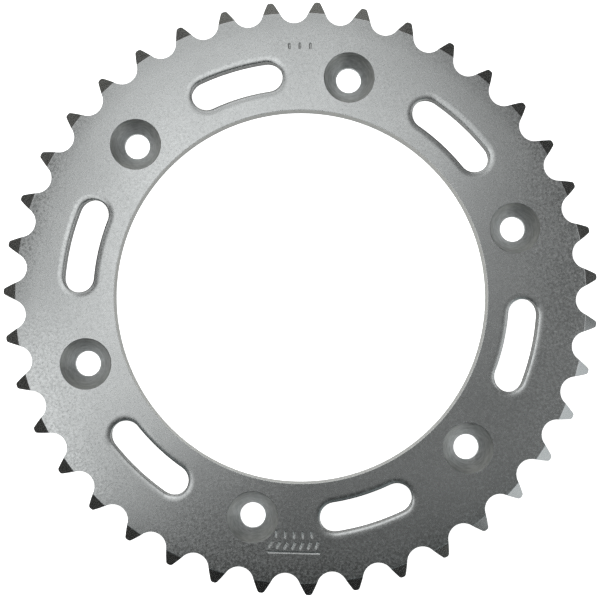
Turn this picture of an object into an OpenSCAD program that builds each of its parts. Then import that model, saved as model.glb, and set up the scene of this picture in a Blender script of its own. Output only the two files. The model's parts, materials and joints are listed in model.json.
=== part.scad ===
// Rear sprocket for a motorcycle: one flat steel plate with chain teeth round its rim, a hub
// bore, six countersunk bolt holes and six curved lightening slots between them.
//
// The plate lies in the XY plane with its back, the face that seats on the wheel hub, at z = 0.
// The countersunk front faces +Z. The middle of the first bolt hole and of the first tooth gap
// are both on the +X axis.

/* [Chain] */
// Distance between neighbouring chain pins (15.875 is a 520 chain)
chain_pitch = 15.875; // [15:0.005:20]
// Diameter of the chain rollers
roller_d = 10.16; // [7:0.01:11]
// Number of teeth
teeth = 39; // [37:1:60]

/* [Teeth] */
// Height of the tooth tips above the pitch circle
tip_height = 2.8; // [1.5:0.05:4]
// Room between a roller and its seat, on the radius
seat_clearance = 0.05; // [0:0.01:0.3]
// Half of the angle over which a seat wraps its roller
seat_half_angle = 64; // [56:0.5:69]
// Radius of the curved tooth flanks
flank_r = 55; // [30:1:140]
// Radius of the rounded corners of the tooth tips
tip_round_r = 1.1; // [0.2:0.05:2]
// How far the side chamfers of the teeth reach in from the tips
side_chamfer_reach = 4.5; // [1:0.1:7]
// Thickness that the side chamfers leave at the tips
tip_land = 2.0; // [1:0.1:4]

/* [Plate] */
// Thickness of the plate
plate_t = 5.8; // [4.5:0.1:10]
// Diameter of the hub bore
bore_d = 127; // [100:0.5:130]

/* [Bolt holes] */
// Number of bolt holes
bolt_count = 6; // [3:1:8]
// Distance from the edge of the bore to the bolt circle
bolt_inset = 13; // [10:0.1:19]
// Diameter of the bolt holes
bolt_hole_d = 8.5; // [6:0.1:13]
// Diameter of the countersinks at the front face
countersink_d = 17.2; // [14:0.1:20]
// Angle between opposite sides of a countersink
countersink_angle = 90; // [82:1:120]

/* [Slots] */
// Distance from the edge of the bore to the middle line of the slots
slot_inset = 12.5; // [9:0.1:20]
// Width of the slots
slot_w = 10.7; // [4:0.1:16]
// Angle between the middles of a slot's two round ends
slot_sweep = 16.2; // [4:0.1:24]
// Turn of the slots away from the middle between two bolt holes
slot_turn = -0.6; // [-3:0.1:3]

/* [Hidden] */
$fn = 144;

// Circles and angles that follow from the chain and the hub
pitch_r = chain_pitch / 2 / sin(180 / teeth);
seat_r = roller_d / 2 + seat_clearance;
tip_r = pitch_r + tip_height;
chamfer_start_r = tip_r - side_chamfer_reach;
chamfer_depth = (plate_t - tip_land) / 2;
bolt_circle_r = bore_d / 2 + bolt_inset;
slot_circle_r = bore_d / 2 + slot_inset;
countersink_depth = (countersink_d - bolt_hole_d) / 2 / tan(countersink_angle / 2);
bolt_step = 360 / bolt_count;
tooth_step = 360 / teeth;

// How far a cutting tool runs past the face that it starts from
overrun = 1;
// Straight steps that make up a tooth flank and a rounded tip corner
flank_steps = 3;
corner_steps = 5;

// Middle of the flank arc above the X axis, for the tooth gap that is centred on that axis
seat_to_flank = seat_r + flank_r;
flank_x = pitch_r - seat_to_flank * cos(seat_half_angle);
flank_y = seat_to_flank * sin(seat_half_angle);
flank_mid_r = norm([flank_x, flank_y]);
flank_mid_a = atan2(flank_y, flank_x);

// The largest corner radius that still leaves room for the same corner on the tooth's other side
flank_on_axis = flank_mid_r * cos(flank_mid_a - tooth_step / 2);
round_limit = (tip_r * (tip_r - 2 * flank_on_axis) + pow(flank_mid_r, 2) - pow(flank_r, 2))
    / (2 * (tip_r - flank_on_axis - flank_r));
corner_r = max(0, min(tip_round_r, round_limit));

// Middle of the corner arc, which touches the flank arc and the tip circle from inside
corner_mid_r = tip_r - corner_r;
corner_to_flank = flank_r - corner_r;
corner_mid_a = flank_mid_a - acos(
    (pow(corner_mid_r, 2) + pow(flank_mid_r, 2) - pow(corner_to_flank, 2))
    / (2 * corner_mid_r * flank_mid_r));
corner_x = corner_mid_r * cos(corner_mid_a);
corner_y = corner_mid_r * sin(corner_mid_a);
corner_start_a = atan2(corner_y - flank_y, corner_x - flank_x);

// Points along an arc about [x, y] from angle a to angle b
function arc(x, y, r, a, b, steps) =
    [for (i = [0:steps]) let (t = a + (b - a) * i / steps) [x + r * cos(t), y + r * sin(t)]];

// One side of a tooth gap, from the roller's middle up its flank and round the tip corner
function gap_side() = concat(
    [[pitch_r, 0]],
    arc(flank_x, flank_y, flank_r, -seat_half_angle, corner_start_a, flank_steps),
    arc(corner_x, corner_y, corner_r, corner_start_a, corner_mid_a, corner_steps),
    [[(tip_r + overrun) * cos(corner_mid_a), (tip_r + overrun) * sin(corner_mid_a)]]);

function mirrored(points) = [for (i = [len(points) - 1:-1:1]) [points[i][0], -points[i][1]]];

// The turned blank, with its rim chamfered from both faces
module blank() {
    rotate_extrude()
        polygon([
            [0, 0],
            [chamfer_start_r, 0],
            [tip_r, chamfer_depth],
            [tip_r, chamfer_depth + tip_land],
            [chamfer_start_r, plate_t],
            [0, plate_t]]);
}

// The space between two teeth: a round seat for the roller, opened out by the two flanks
module tooth_gap() {
    translate([pitch_r, 0, -overrun])
        cylinder(r = seat_r, h = plate_t + 2 * overrun);
    translate([0, 0, -overrun])
        linear_extrude(plate_t + 2 * overrun)
            polygon(concat(gap_side(), mirrored(gap_side())));
}

module hub_bore() {
    translate([0, 0, -overrun])
        cylinder(d = bore_d, h = plate_t + 2 * overrun);
}

// A through hole with a countersink that opens at the front face
module bolt_hole() {
    flare = overrun * tan(countersink_angle / 2);
    translate([bolt_circle_r, 0, -overrun])
        cylinder(d = bolt_hole_d, h = plate_t + 2 * overrun);
    translate([bolt_circle_r, 0, plate_t - countersink_depth])
        cylinder(d1 = bolt_hole_d, d2 = countersink_d + 2 * flare,
            h = countersink_depth + overrun);
}

// A curved slot with round ends, centred on the X axis
module slot() {
    translate([0, 0, -overrun])
        rotate([0, 0, -slot_sweep / 2])
            rotate_extrude(angle = slot_sweep)
                translate([slot_circle_r - slot_w / 2, 0])
                    square([slot_w, plate_t + 2 * overrun]);
    for (side = [-1, 1])
        rotate([0, 0, side * slot_sweep / 2])
            translate([slot_circle_r, 0, -overrun])
                cylinder(d = slot_w, h = plate_t + 2 * overrun);
}

module sprocket() {
    color([0.70, 0.71, 0.71])
        difference() {
            blank();
            hub_bore();
            for (i = [0:bolt_count - 1])
                rotate([0, 0, i * bolt_step])
                    bolt_hole();
            for (i = [0:bolt_count - 1])
                rotate([0, 0, (i + 0.5) * bolt_step + slot_turn])
                    slot();
            for (i = [0:teeth - 1])
                rotate([0, 0, i * tooth_step])
                    tooth_gap();
        }
}

sprocket();
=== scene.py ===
import json
from math import acos, atan2, cos, hypot, pi, radians, sin

import bpy
from mathutils import Matrix, Vector
from mathutils.geometry import delaunay_2d_cdt


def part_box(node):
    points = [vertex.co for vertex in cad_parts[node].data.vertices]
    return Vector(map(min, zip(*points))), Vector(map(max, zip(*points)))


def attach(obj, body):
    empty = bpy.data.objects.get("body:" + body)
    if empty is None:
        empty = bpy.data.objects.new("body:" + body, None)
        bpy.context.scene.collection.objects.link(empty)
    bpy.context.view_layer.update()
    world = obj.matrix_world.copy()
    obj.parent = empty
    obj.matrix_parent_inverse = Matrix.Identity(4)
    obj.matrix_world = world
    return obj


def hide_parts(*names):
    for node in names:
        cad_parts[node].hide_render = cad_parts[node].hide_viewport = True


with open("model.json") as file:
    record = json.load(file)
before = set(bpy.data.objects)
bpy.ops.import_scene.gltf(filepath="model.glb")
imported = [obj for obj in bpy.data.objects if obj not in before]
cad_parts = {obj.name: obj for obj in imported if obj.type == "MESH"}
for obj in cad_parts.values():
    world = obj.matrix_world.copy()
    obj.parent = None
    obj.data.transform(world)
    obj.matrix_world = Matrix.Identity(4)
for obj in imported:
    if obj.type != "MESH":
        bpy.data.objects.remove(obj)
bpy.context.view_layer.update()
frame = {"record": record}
MM = 0.001

# ---- The view --------------------------------------------------------------------------------
# The sprocket lies front face up, and a short telephoto lens looks almost straight down on it.
# The plate lies turned a little, so its first bolt hole is just above the right-hand side.
plate_low, plate_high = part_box("sprocket")
plate_t = plate_high.z - plate_low.z

camera = bpy.data.objects.new("camera", bpy.data.cameras.new("camera"))
camera.data.sensor_width = 36
camera.data.lens = 60.1
camera.data.clip_start = 0.01
camera_height = 340 * MM
off_middle_x, off_middle_y = -0.41 * MM, -1.49 * MM
plate_turn = radians(17.58)
lean_back = radians(1.892)
lean_left = radians(-0.457)
camera.matrix_world = (
    Matrix.Translation((0, 0, plate_t))
    @ Matrix.Rotation(-plate_turn, 4, "Z")
    @ Matrix.Rotation(lean_back, 4, "X")
    @ Matrix.Rotation(lean_left, 4, "Y")
    @ Matrix.Translation((off_middle_x, off_middle_y, camera_height))
)
bpy.context.scene.collection.objects.link(camera)
bpy.context.scene.camera = camera
bpy.context.scene.view_settings.view_transform = "Standard"


# ---- The plate's faces -----------------------------------------------------------------------
# One blank of carbon steel plate, pressed flat, with its rim drawn down a hair where it was
# blanked. A lathe has turned a shallow cone off each face there, which thins the teeth.
mounts = {mount["name"]: mount for mount in frame["record"]["mounts"]}
chain_pitch = 15.875 * MM
tooth_count = 39
tooth_step = 2 * pi / tooth_count
pitch_r = chain_pitch / 2 / sin(pi / tooth_count)
tip_r = pitch_r + 2.8 * MM
cone_start_r = tip_r - 4.5 * MM
cone_slope = (plate_t - 2.0 * MM) / 2 / (tip_r - cone_start_r)
crease_w = 0.15 * MM
droop_start_r = 90 * MM
droop_w = cone_start_r - droop_start_r
droop_slope = 0.025


def plate_surface(x, y, side):
    """Height and outward normal of the front face (side 1) or the back face (side -1)."""
    r = hypot(x, y)
    past = r - cone_start_r
    bend = min(max((past + crease_w) / (2 * crease_w), 0), 1)
    droop = min(max((r - droop_start_r) / droop_w, 0), 1)
    drop = droop_slope * (droop_w * droop * droop / 2 + max(past, 0))
    drop += (cone_slope - droop_slope) * (past if bend == 1 else crease_w * bend * bend)
    slope = droop_slope * droop + (cone_slope - droop_slope) * bend
    normal = Vector((slope * x / r, slope * y / r, side)).normalized()
    return (plate_t - drop if side > 0 else drop), normal


class Skin:
    """The surface of the plate as it is built up: its points, their normals and its faces."""

    def __init__(self):
        self.points, self.normals, self.faces, self.finishes = [], [], [], []

    def ring(self, outline, side, inset=0, drop=0, turn=0):
        """Points that follow an outline, inset into the metal and dropped from one face, where
        the surface has turned by an angle from that face towards the wall."""
        first = len(self.points)
        for x, y, into_x, into_y in outline:
            x, y = x + into_x * inset, y + into_y * inset
            z, normal = plate_surface(x, y, side)
            self.points.append((x, y, z - side * drop))
            wall = Vector((-into_x, -into_y, 0))
            self.normals.append((normal * cos(turn) + wall * sin(turn)).normalized())
        return list(range(first, len(self.points)))

    def face(self, corners, finish):
        self.faces.append(corners)
        self.finishes.append(finish)

    def strip(self, upper, lower, finish):
        """A closed band of faces between two rings, which run with the metal on their left."""
        for i in range(len(upper)):
            j = (i + 1) % len(upper)
            self.face((upper[j], upper[i], lower[i], lower[j]), finish)

    def edge(self, outline, side, profile, finish):
        """The bands of an edge from a face to a wall. Returns its first and last rings."""
        rings = [self.ring(outline, side, *step) for step in profile]
        for outer, inner in zip(rings, rings[1:]):
            self.strip(*((outer, inner) if side > 0 else (inner, outer)), finish)
        return rings[0], rings[-1]


skin = Skin()
FACE, CONE, SINK, WALL, BORE = range(5)
front_holes, back_holes = [], []


def arc(x, y, r, start, stop, steps, metal):
    """Points along an arc, each with its direction into the metal, which lies outside the arc
    (metal 1) or inside it (metal -1). The last point is left to whatever comes next."""
    turns = [start + (stop - start) * i / steps for i in range(steps)]
    return [(x + r * cos(t), y + r * sin(t), metal * cos(t), metal * sin(t)) for t in turns]


def turned(outline, angle):
    c, s = cos(angle), sin(angle)
    return [(x * c - y * s, x * s + y * c, u * c - v * s, u * s + v * c) for x, y, u, v in outline]


def rounded_edge(width, depth, steps):
    """Profile of an edge that turns from the face down into the wall as a quarter ellipse."""
    profile = []
    for i in range(steps + 1):
        t = pi / 2 * i / steps
        turn = atan2(sin(t) / width, cos(t) / depth)
        profile.append((width * (1 - sin(t)), depth * (1 - cos(t)), turn))
    return profile


# ---- The teeth -------------------------------------------------------------------------------
# Each gap is a round seat, a hair wider than the chain's roller, that opens out into two gently
# curved flanks. A hob cuts them round the rim, and the sharp corners at the tips are broken.
seat_r = 10.16 * MM / 2 + 0.05 * MM
seat_half_angle = radians(64)
flank_r = 55 * MM
tip_round_r = 1.1 * MM
tooth_edge = rounded_edge(0.10 * MM, 0.10 * MM, 3)

flank_x = pitch_r - (seat_r + flank_r) * cos(seat_half_angle)
flank_y = (seat_r + flank_r) * sin(seat_half_angle)
flank_mid_r, flank_mid_a = hypot(flank_x, flank_y), atan2(flank_y, flank_x)


def meeting_angle(r, reach):
    """Direction from the plate's middle to where a circle of radius r about it meets a circle of
    radius reach about the middle of the flank."""
    return flank_mid_a - acos((r * r + flank_mid_r**2 - reach**2) / (2 * r * flank_mid_r))


round_mid_r = tip_r - tip_round_r
round_mid_a = meeting_angle(round_mid_r, flank_r - tip_round_r)
round_x, round_y = round_mid_r * cos(round_mid_a), round_mid_r * sin(round_mid_a)
flank_stop = atan2(round_y - flank_y, round_x - flank_x)

# Where the flanks cross the cone's crease they get points of their own, to keep it a clean line.
crease_radii = [cone_start_r + share * crease_w for share in (-1, -0.5, 0, 0.5, 1)]
crease_turns = []
for crease_r in crease_radii:
    a = meeting_angle(crease_r, flank_r - tooth_edge[0][0])
    crease_turns.append(atan2(crease_r * sin(a) - flank_y, crease_r * cos(a) - flank_x))

half_gap = [(flank_x + flank_r * cos(t), flank_y + flank_r * sin(t), -cos(t), -sin(t))
            for t in [-seat_half_angle, *crease_turns]]
half_gap += arc(flank_x, flank_y, flank_r, crease_turns[-1], flank_stop, 5, -1)[1:]
half_gap += arc(round_x, round_y, tip_round_r, flank_stop, round_mid_a, 7, -1)
half_gap += arc(0, 0, tip_r, round_mid_a, tooth_step / 2, 2, -1)
half_gap += arc(0, 0, tip_r, tooth_step / 2, tooth_step, 1, -1)
other_half = [(x, -y, u, -v) for x, y, u, v in half_gap[-2:0:-1]]
seat = arc(pitch_r, 0, seat_r, pi + seat_half_angle, pi - seat_half_angle, 28, 1)
gap = other_half + seat + half_gap

rim = []
for tooth in range(tooth_count):
    rim += turned(gap, tooth * tooth_step)
front_rim, rim_top = skin.edge(rim, 1, tooth_edge, CONE)
back_rim, rim_foot = skin.edge(rim, -1, tooth_edge, CONE)
skin.strip(rim_top, rim_foot, WALL)


def crease_rows(rim_ring, side):
    """The crease across each tooth, as open rows of points from one flank to the next."""
    rows = []
    leaving, reaching = len(other_half) + len(seat), len(other_half)
    for tooth in range(tooth_count):
        for k, r in enumerate(crease_radii, 1):
            start = rim_ring[tooth * len(gap) + leaving + k]
            stop = rim_ring[((tooth + 1) * len(gap) + reaching - k) % len(rim_ring)]
            a = atan2(skin.points[start][1], skin.points[start][0])
            b = atan2(skin.points[stop][1], skin.points[stop][0])
            b += 2 * pi if b < a else 0
            between = skin.ring(arc(0, 0, r, a, b, 8, 0)[1:], side)
            rows.append([start, *between, stop])
    return rows


def droop_rings(side):
    """Rings of points in the face that carry the rim's slight droop. They stay inside the roots."""
    rings = []
    for r in (droop_start_r, droop_start_r + 0.25 * droop_w, droop_start_r + 0.45 * droop_w):
        ring = skin.ring(arc(0, 0, r, 0, 2 * pi, 4 * tooth_count, 0), side)
        rings.append([*ring, ring[0]])
    return rings


# ---- The hub bore ----------------------------------------------------------------------------
# The wheel hub's spigot centres the sprocket here. The bore is turned true after the plate is
# pressed, and only the sharp edges are taken off it.
bore_r = mounts["hub_bore"]["dims"]["r_mm"] * MM
bore_edge = rounded_edge(0.15 * MM, 0.10 * MM, 4)
broken_edge = rounded_edge(0.15 * MM, 0.15 * MM, 3)


def through_cut(outline, front_profile, front_finish, back_profile, wall_finish):
    """A hole right through the plate, with its own edge profile at each face."""
    front, top = skin.edge(outline, 1, front_profile, front_finish)
    back, foot = skin.edge(outline, -1, back_profile, wall_finish)
    skin.strip(top, foot, wall_finish)
    front_holes.append(front)
    back_holes.append(back)


through_cut(arc(0, 0, bore_r, 2 * pi, 0, 360, 1), bore_edge, FACE, broken_edge, BORE)


# ---- The bolt holes --------------------------------------------------------------------------
# Six drilled holes for the hub's bolts, each opened out at the front by a 90 degree countersink
# so that the flush bolt heads clear the chain. The cutter leaves fine rings on the cone.
bolts = mounts["bolt_holes"]["dims"]
bolt_circle_r = bolts["pcd_mm"] / 2 * MM
bolt_hole_r = bolts["hole_r_mm"] * MM
sink_r = 17.2 * MM / 2
sink_w = sink_r - bolt_hole_r
bolt_step = 2 * pi / bolts["count"]
burr = 0.12 * MM
sink_profile = [
    (sink_w + burr, 0, 0),
    (sink_w - burr / 2, burr / 2, pi / 6),
    (sink_w - 2 * burr, 2 * burr, pi / 4),
    (sink_w / 2, sink_w / 2, pi / 4),
    (burr, sink_w - burr, pi / 4),
    (0, sink_w + burr, pi / 2),
]
for i in range(bolts["count"]):
    outline = turned(arc(bolt_circle_r, 0, bolt_hole_r, 2 * pi, 0, 96, 1), i * bolt_step)
    through_cut(outline, sink_profile, SINK, broken_edge, SINK)


# ---- The slots -------------------------------------------------------------------------------
# Six curved slots between the bolt holes take out weight. A punch has drawn the front face down
# into a wide soft roll round each one and cut the wall clean below it. Then the wall has torn, and
# it opens out towards the back.
slot_r = 75.8 * MM
slot_w = 10.2 * MM
slot_sweep = radians(16.6)
slot_turn = radians(-0.6)
slot_roll = rounded_edge(2.3 * MM, 0.42 * MM, 12)
torn = 0.45 * MM
torn_share = 0.6
torn_edge = [(torn + width, depth, turn) for width, depth, turn in broken_edge]
torn_edge.append((0, plate_t * torn_share, pi / 2))


def curved_slot(r, width, sweep, middle, steps, end_steps):
    """Outline of a slot with round ends that follows an arc about the plate's middle."""
    half = sweep / 2
    outline = arc(0, 0, r + width / 2, half, -half, steps, 1)
    outline += turned(arc(r, 0, width / 2, 0, -pi, end_steps, 1), -half)
    outline += arc(0, 0, r - width / 2, -half, half, steps, -1)
    outline += turned(arc(r, 0, width / 2, pi, 0, end_steps, 1), half)
    return turned(outline, middle)


for i in range(bolts["count"]):
    middle = (i + 0.5) * bolt_step + slot_turn
    outline = curved_slot(slot_r, slot_w, slot_sweep, middle, 24, 20)
    through_cut(outline, slot_roll, FACE, torn_edge, WALL)


# ---- The stamped marks -----------------------------------------------------------------------
# Two stamps are struck into the front face with a punch. They are plain rows of bars and ticks,
# with no lettering.
stroke_w = 0.70 * MM
stroke_depth = 0.11 * MM
stroke_profile = [
    (0.16 * MM, 0, 0),
    (0.05 * MM, 0.01 * MM, radians(14)),
    (-0.04 * MM, 0.05 * MM, radians(38)),
    (-0.18 * MM, stroke_depth, radians(16)),
]


def stroke(length, r, along, lean, middle):
    """One straight groove with round ends, at radius r and some way along the row from middle.
    It leans by an angle from the row's own direction."""
    end = arc(length / 2, 0, stroke_w / 2, pi / 2, -2 / 3 * pi, 7, 1)
    bar = turned(end + turned(end, pi), pi / 2 + lean)
    outline = turned([(x + r, y, u, v) for x, y, u, v in bar], middle + along / r)
    front, floor = skin.edge(outline, 1, stroke_profile, FACE)
    front_holes.append(front)
    skin.face(floor[::-1], FACE)


def row_of_strokes(count, pitch, length, r, lean, middle):
    for k in range(count):
        stroke(length, r, (k - (count - 1) / 2) * pitch, lean, middle)


large_stamp = radians(-109.3)
small_stamp = radians(72.7)
row_of_strokes(1, 0, 17.2 * MM, 86.6 * MM, 0, large_stamp)
row_of_strokes(7, 2.6 * MM, 2.0 * MM, 84.4 * MM, radians(65), large_stamp)
row_of_strokes(5, 3.0 * MM, 1.7 * MM, 80.8 * MM, radians(90), large_stamp)
row_of_strokes(3, 3.6 * MM, 1.5 * MM, 85.6 * MM, radians(90), small_stamp)


# ---- The finished surface --------------------------------------------------------------------
# The two faces close the skin between all the outlines that were cut through it or into it.


def close_face(side, rim_ring, holes, rows):
    """Fills one face of the plate, from the rim to the edges of the holes."""
    ids, at, borders, creases = [], {}, [], []
    for line, closed, kind in [(rim_ring, True, borders), *[(h, True, borders) for h in holes],
                               *[(row, False, creases) for row in rows]]:
        for p in line:
            if p not in at:
                at[p] = len(ids)
                ids.append(p)
        ends = line[1:] + line[:1] if closed else line[1:]
        kind += [(at[a], at[b]) for a, b in zip(line, ends)]
    spots = [Vector(skin.points[p][:2]) / MM for p in ids]
    result = delaunay_2d_cdt(spots, borders + creases, [], 1, 1e-7)
    originals, triangles = result[3], result[2]
    if len(result[0]) != len(spots):
        raise ValueError(f"side {side}: {len(spots)} points became {len(result[0])}")
    corners = [[originals[c][0] for c in t] for t in triangles]
    fence = {frozenset(pair) for pair in borders}
    beside = {}
    for n, t in enumerate(corners):
        for a, b in zip(t, t[1:] + t[:1]):
            beside.setdefault(frozenset((a, b)), []).append(n)
    seen = set(beside[frozenset((at[rim_ring[0]], at[rim_ring[1]]))])
    reach = list(seen)
    while reach:
        t = corners[reach.pop()]
        for a, b in zip(t, t[1:] + t[:1]):
            if frozenset((a, b)) not in fence:
                more = [n for n in beside[frozenset((a, b))] if n not in seen]
                seen.update(more)
                reach += more
    for n in sorted(seen):
        t = [ids[c] for c in corners[n]]
        r = sum(hypot(*skin.points[p][:2]) for p in t) / 3
        skin.face(t if side > 0 else t[::-1], CONE if r > cone_start_r else FACE)


close_face(1, front_rim, front_holes, crease_rows(front_rim, 1) + droop_rings(1))
close_face(-1, back_rim, back_holes, crease_rows(back_rim, -1) + droop_rings(-1))

mesh = bpy.data.meshes.new("sprocket_plate")
mesh.from_pydata(skin.points, [], skin.faces)
mesh.polygons.foreach_set("material_index", skin.finishes)
mesh.polygons.foreach_set("use_smooth", [True] * len(skin.faces))
mesh.update()
mesh.normals_split_custom_set_from_vertices(skin.normals)
plate = bpy.data.objects.new("sprocket_plate", mesh)
bpy.context.scene.collection.objects.link(plate)
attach(plate, "root")
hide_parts("sprocket")


# ---- The zinc on the faces -------------------------------------------------------------------
# The whole part is zinc plated and passivated to a pale satin. The pickled steel underneath shows
# as an even grain, with faint clouds where the bath ran thinner, and a painted highlight along the
# creases.


class Value:
    """A number in a shader. Sums and products with it add the Math nodes that work them out."""

    def __init__(self, finish, socket):
        self.finish, self.socket = finish, socket

    def __add__(self, other):
        return self.finish.maths("ADD", self, other)

    def __radd__(self, other):
        return self.finish.maths("ADD", other, self)

    def __sub__(self, other):
        return self.finish.maths("SUBTRACT", self, other)

    def __rsub__(self, other):
        return self.finish.maths("SUBTRACT", other, self)

    def __mul__(self, other):
        return self.finish.maths("MULTIPLY", self, other)

    def __rmul__(self, other):
        return self.finish.maths("MULTIPLY", other, self)

    def __truediv__(self, other):
        return self.finish.maths("DIVIDE", self, other)


class Finish:
    """One finish of the plate. node() adds a node to it: its settings first, then its sockets."""

    def __init__(self, name):
        self.material = bpy.data.materials.new(name)
        self.material.use_nodes = True
        self.tree = self.material.node_tree
        self.shader = self.tree.nodes["Principled BSDF"]
        self.place = self.node("TexCoord", {}, {}, "Object")
        plate.data.materials.append(self.material)

    def node(self, kind, settings, sockets, out=0):
        node = self.tree.nodes.new("ShaderNode" + kind)
        for name, setting in settings.items():
            setattr(node, name, setting)
        self.feed(node, sockets)
        return Value(self, node.outputs[out])

    def feed(self, node, sockets):
        for name, value in sockets.items():
            if isinstance(value, Value):
                self.tree.links.new(value.socket, node.inputs[name])
            else:
                node.inputs[name].default_value = value

    def maths(self, operation, first, second=0.0):
        return self.node("Math", {"operation": operation}, {0: first, 1: second})

    def from_middle(self):
        """How far each point is from the plate's axis."""
        flat = self.node("VectorMath", {"operation": "MULTIPLY"}, {0: self.place, 1: (1, 1, 0)})
        return self.node("VectorMath", {"operation": "LENGTH"}, {0: flat}, "Value")

    def along(self, axis):
        return self.node("SeparateXYZ", {}, {0: self.place}, axis)

    def noise(self, size, detail=2, place=None, lumps=0.5):
        """Smooth noise from 0 to 1 with features of about the given size."""
        place = place or self.place
        sockets = {"Vector": place, "Scale": 1 / size, "Detail": detail, "Roughness": lumps}
        return self.node("TexNoise", {}, sockets)

    def fine_rings(self, spacing, across):
        """Turning marks, as noise that changes only along the given measure."""
        return self.node("TexNoise", {"noise_dimensions": "1D"}, {"W": across, "Scale": 1 / spacing})

    def ramp(self, value, low, high):
        """Goes smoothly from 0 to 1 as the value goes from low to high."""
        sockets = {"Value": value, "From Min": low, "From Max": high}
        return self.node("MapRange", {"interpolation_type": "SMOOTHSTEP"}, sockets)

    def blend(self, mask, first, second):
        """The first colour where the mask is 0 and the second where it is 1."""
        return self.node("Mix", {"data_type": "RGBA"}, {0: mask, 6: first, 7: second}, 2)

    def crease_line(self, radius):
        """A thin painted highlight along the crease, in a brighter metal colour."""
        off = self.maths("ABSOLUTE", radius - cone_start_r)
        return 1 - self.ramp(off, 0.05 * MM, 0.35 * MM)

    def finish(self, color, rough, height, relief, metallic=1.0):
        bump = self.node("Bump", {}, {"Height": height, "Distance": relief, "Strength": 1})
        self.feed(self.shader, {"Base Color": color, "Roughness": rough, "Normal": bump})
        self.feed(self.shader, {"Metallic": metallic})


pale_zinc = (0.79, 0.815, 0.815, 1)
grey_zinc = (0.55, 0.57, 0.57, 1)
# Bright metal colour, for real scratches and for the painted highlight along the creases.
bright_edge = (0.90, 0.91, 0.92, 1)

faces = Finish("zinc_faces")
radius = faces.from_middle()
grain = faces.noise(0.85 * MM)
coarser = 0.6 + 0.3 * faces.ramp(radius, 68 * MM, 88 * MM)
mottle = faces.noise(2.4 * MM)
clouds = faces.noise(28 * MM)
turned_and_stretched = {"Vector": faces.place, "Rotation": (0, 0, 0.7), "Scale": (0.12, 1, 1)}
drawn_out = faces.node("Mapping", {}, turned_and_stretched)
scratches = faces.ramp(faces.noise(0.4 * MM, 0, drawn_out), 0.84, 0.87)
shade = 0.5 + 0.3 * coarser * (grain - 0.5) + 0.2 * (mottle - 0.5) + 0.6 * (clouds - 0.5)
zinc = faces.blend(faces.ramp(shade, -0.1, 1.1), grey_zinc, pale_zinc)
# The bright scratches are real wear; the line along the crease is a painted highlight.
worn = faces.blend(faces.crease_line(radius) * 0.45 + scratches * 0.5, zinc, bright_edge)
rough = 0.24 + 0.03 * (clouds - 0.5) + 0.4 * coarser * (grain - 0.5)
faces.finish(worn, rough, coarser * grain, 0.008 * MM, 0.9)


# ---- The turned teeth ------------------------------------------------------------------------
# The lathe's fine feed lines run round the cones under the zinc, which has gone on a little
# duller here than on the rolled faces.
teeth = Finish("zinc_teeth")
radius = teeth.from_middle()
grain = teeth.noise(0.35 * MM, 3, lumps=0.65)
feed_lines = teeth.fine_rings(0.14 * MM, radius)
shade = 0.5 + 0.5 * (grain - 0.5) + 0.3 * (feed_lines - 0.5)
zinc = teeth.blend(teeth.ramp(shade, 0, 1), (0.50, 0.515, 0.52, 1), (0.70, 0.715, 0.72, 1))
# The line along the crease is a painted highlight, in a brighter metal colour.
worn = teeth.blend(teeth.crease_line(radius) * 0.45, zinc, bright_edge)
teeth.finish(worn, 0.25 + 0.05 * (grain - 0.5), grain + feed_lines, 0.001 * MM)


# ---- The countersinks' rings -----------------------------------------------------------------
# The countersink cutter leaves uneven rings round each cone, which the zinc follows. One sixth
# of a turn is worked out and stands for all six holes, each with its own patch of the noise.
sinks = Finish("zinc_countersinks")
radius = sinks.from_middle()
bearing = sinks.maths("ARCTAN2", sinks.along("Y"), sinks.along("X"))
hole = sinks.maths("ROUND", bearing / bolt_step)
swing = bearing - hole * bolt_step
out = radius * sinks.maths("COSINE", swing) - bolt_circle_r
aside = radius * sinks.maths("SINE", swing)
reach = sinks.maths("SQRT", out * out + aside * aside)
turn = sinks.maths("ARCTAN2", aside, out)
spot = sinks.node("CombineXYZ", {}, {"X": reach, "Y": turn * 1.2 * MM, "Z": hole * 9 * MM})
rings = sinks.noise(0.34 * MM, 2, spot)
bands = sinks.noise(0.9 * MM, 1, spot)
grain = sinks.noise(0.40 * MM, 3, lumps=0.65)
shade = 0.5 + 1.5 * (rings - 0.5) + 0.8 * (bands - 0.5) + 0.5 * (grain - 0.5)
zinc = sinks.blend(sinks.ramp(shade, 0, 1), (0.38, 0.395, 0.395, 1), (0.58, 0.595, 0.595, 1))
sinks.finish(zinc, 0.52 + 0.10 * (rings - 0.5), rings + 0.3 * grain, 0.06 * MM)


# ---- The cut walls ---------------------------------------------------------------------------
# The punch and the hob leave upright score lines on the walls. Their zinc is painted dark, as
# shade down in the holes, and darker still towards the bottom, on the torn lower half, which is also
# duller.
walls = Finish("zinc_cut_walls")
tall = walls.node("VectorMath", {"operation": "MULTIPLY"}, {0: walls.place, 1: (1, 1, 0.05)})
score_lines = walls.noise(0.30 * MM, 3, tall)
grain = walls.noise(0.5 * MM)
clean_cut = walls.ramp(walls.along("Z") + 0.8 * MM * (score_lines - 0.5), plate_t * 0.38, plate_t * 0.46)
# Painted shade: a near-black colour on the walls, darker towards the bottom of each wall.
zinc = walls.blend(clean_cut, (0.14, 0.145, 0.14, 1), (0.20, 0.205, 0.20, 1))
shade = walls.ramp(0.5 + 1.5 * (score_lines - 0.5) + 0.6 * (grain - 0.5), 0, 1)
scored = walls.blend(shade * 0.3, zinc, (0.30, 0.305, 0.30, 1))
walls.feed(walls.shader, {"Specular IOR Level": 0.15})
walls.finish(scored, 0.72 - 0.15 * clean_cut + 0.1 * (grain - 0.5), score_lines, 0.02 * MM, 0.35)


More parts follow.
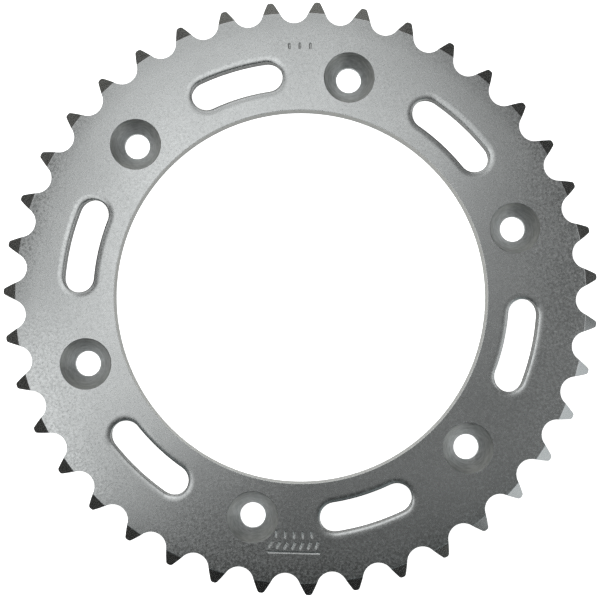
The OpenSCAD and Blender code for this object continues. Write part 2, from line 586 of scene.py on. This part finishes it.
# ---- The bored wall --------------------------------------------------------------------------
# The boring tool's feed lines run round the bore, under zinc that is a little brighter than on
# the walls left by the punch.
bored = Finish("zinc_bore")
feed_lines = bored.fine_rings(0.16 * MM, bored.along("Z"))
grain = bored.noise(0.5 * MM)
shade = bored.ramp(0.5 + 1.2 * (feed_lines - 0.5) + 0.8 * (grain - 0.5), 0, 1)
zinc = bored.blend(shade, (0.24, 0.245, 0.235, 1), (0.36, 0.365, 0.35, 1))
bored.feed(bored.shader, {"Specular IOR Level": 0.15})
bored.finish(zinc, 0.60 + 0.08 * (grain - 0.5), feed_lines, 0.01 * MM, 0.35)


# ---- The studio ------------------------------------------------------------------------------
# The part lies on a sheet of white paper that is lit evenly. Soft panels hang over it at slightly
# different heights, so that none hides another's reflection, and cards of light stand round it.
world = bpy.data.worlds.new("studio")
world.use_nodes = True
world.node_tree.nodes["Background"].inputs["Color"].default_value = (0.01, 0.01, 0.009, 1)
bpy.context.scene.world = world

paper_half_w = 3
paper_z = -0.5 * MM
ways = [(-1, -1), (1, -1), (1, 1), (-1, 1)]
corners = [(x * paper_half_w, y * paper_half_w, paper_z) for x, y in ways]
floor_mesh = bpy.data.meshes.new("floor")
floor_mesh.from_pydata(corners, [], [(0, 1, 2, 3)])
floor = bpy.data.objects.new("floor", floor_mesh)
bpy.context.scene.collection.objects.link(floor)
paper = bpy.data.materials.new("paper")
paper.use_nodes = True
paper_shader = paper.node_tree.nodes["Principled BSDF"]
paper_shader.inputs["Base Color"].default_value = (0.9, 0.9, 0.9, 1)
paper_shader.inputs["Roughness"].default_value = 0.9
paper_shader.inputs["Emission Color"].default_value = (1, 1, 1, 1)
paper_shader.inputs["Emission Strength"].default_value = 0.95
floor_mesh.materials.append(paper)


def panel(name, x, y, height, width, depth, turn, brightness, tilt=0, tint=(1, 1, 1)):
    """A soft panel of light above the plate. x is to the view's right and y is up the view, and
    turn is the panel's own turn in that view. A tilt leans it over to look at the plate."""
    light = bpy.data.lights.new(name, "AREA")
    light.shape = "RECTANGLE"
    light.size, light.size_y = width, depth
    light.energy = brightness * pi * width * depth
    light.color = tint
    lamp = bpy.data.objects.new(name, light)
    lamp.matrix_world = (
        Matrix.Rotation(-plate_turn, 4, "Z")
        @ Matrix.Translation((x, y, height))
        @ Matrix.Rotation(radians(turn), 4, "Z")
        @ Matrix.Rotation(radians(tilt), 4, "Y")
    )
    lamp.visible_camera = False
    bpy.context.scene.collection.objects.link(lamp)
    return lamp


panel("key", -0.147, 0.058, 1.0, 0.826, 0.329, 45.7, 0.59)
panel("far_key", -0.449, 0.487, 1.02, 0.695, 0.628, 0, 0.18)
ceiling_z, ceiling_w = 1.04, 0.31
ceiling = [
    (-0.15, 0.45, 0.42), (0.15, 0.45, 0.27),
    (-0.15, 0.15, 0.61), (0.15, 0.15, 0.33), (0.45, 0.15, 0.07),
    (-0.45, -0.15, 0.61), (-0.15, -0.15, 0.13), (0.15, -0.15, 0.15), (0.45, -0.15, 0.13),
]
for x, y, brightness in ceiling:
    panel("ceiling", x, y, ceiling_z, ceiling_w, ceiling_w, 0, brightness)


def card(azimuth, elevation, width, height, distance, brightness, tint=(1, 1, 1)):
    """A card of light that stands round the plate and faces it."""
    along, rise = distance * cos(radians(elevation)), distance * sin(radians(elevation))
    x, y = along * cos(radians(azimuth)), along * sin(radians(azimuth))
    panel("card", x, y, rise, height, width, azimuth, brightness, 90 - elevation, tint)


warm, cool, cold = (1, 0.98, 0.90), (0.95, 0.99, 1), (0.84, 0.98, 1)
low_cards = [(0, 0.40), (45, 0.20), (90, 0.85), (135, 0.89), (180, 0.70), (225, 0.36), (315, 0.82)]
for azimuth, brightness in low_cards:
    card(azimuth, 9, 0.75, 0.30, 1.0, brightness, warm)
for azimuth, brightness in [(0, 0.70), (45, 0.20), (90, 0.69), (135, 0.43), (180, 0.18)]:
    card(azimuth, 50, 0.5, 0.35, 1.0, brightness)
for azimuth, brightness in [(225, 0.13), (270, 0.11), (315, 0.30)]:
    card(azimuth, 50, 0.5, 0.35, 1.0, brightness, cold)
card(90, 27, 0.70, 0.28, 1.0, 0.12, warm)
card(-26, 28, 0.62, 0.28, 0.906, 0.86, cool)

# A broad low sun lights only the paper, which passes a little of it on to the walls.
wash = bpy.data.lights.new("floor_wash", "SUN")
wash.angle = radians(20)
wash.energy = 2.5
wash_lamp = bpy.data.objects.new("floor_wash", wash)
wash_lamp.rotation_euler = (0, radians(55), radians(135) - plate_turn)
wash_lamp.visible_camera = False
bpy.context.scene.collection.objects.link(wash_lamp)
only_floor = bpy.data.collections.new("only_floor")
only_floor.objects.link(floor)
wash_lamp.light_linking.receiver_collection = only_floor
